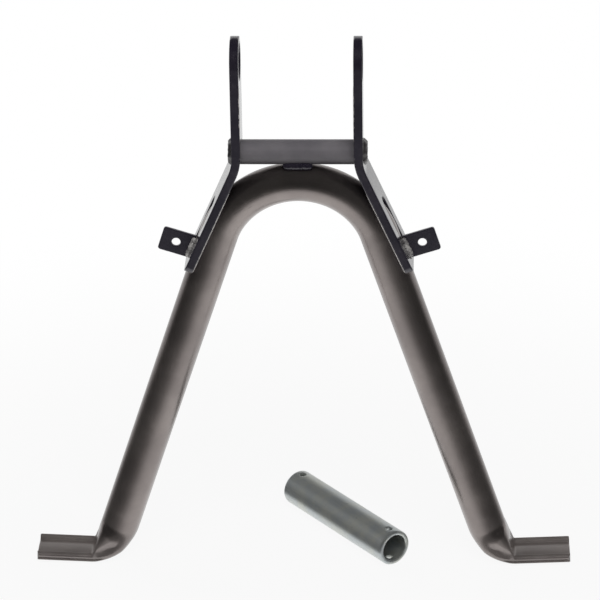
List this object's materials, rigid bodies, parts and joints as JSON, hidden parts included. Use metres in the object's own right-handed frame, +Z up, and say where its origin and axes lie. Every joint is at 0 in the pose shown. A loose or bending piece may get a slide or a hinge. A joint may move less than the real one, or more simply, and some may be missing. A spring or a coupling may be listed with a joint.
{
  "type": "moped centre stand",
  "caption": "Moped centre stand: a bent tube arch with splayed legs and pressed feet, two side plates with a pivot hole, a cross bar, spring tabs, and a loose pivot tube.",
  "frame": {"origin": "middle of the pivot axis, between the two side plates", "axes": "+X along the pivot axis to the right, +Y to the rear, +Z up; the ground is 311 mm under the origin"},
  "size_m": [0.3132, 0.0882, 0.325],
  "materials": {
    "black_paint": "satin black paint",
    "weld": "painted weld bead",
    "zinc": "zinc plated, drawn"
  },
  "bodies": {
    "root": {"leg_tube": "black_paint", "left_plate": "black_paint", "right_plate": "black_paint", "cross_bar": "black_paint", "left_bar_weld": "weld", "right_bar_weld": "weld", "arch_weld": "weld", "left_spring_tab": "black_paint", "right_spring_tab": "black_paint", "left_tab_weld": "weld", "right_tab_weld": "weld", "pivot_tube": "zinc"}
  },
  "joints": []
}
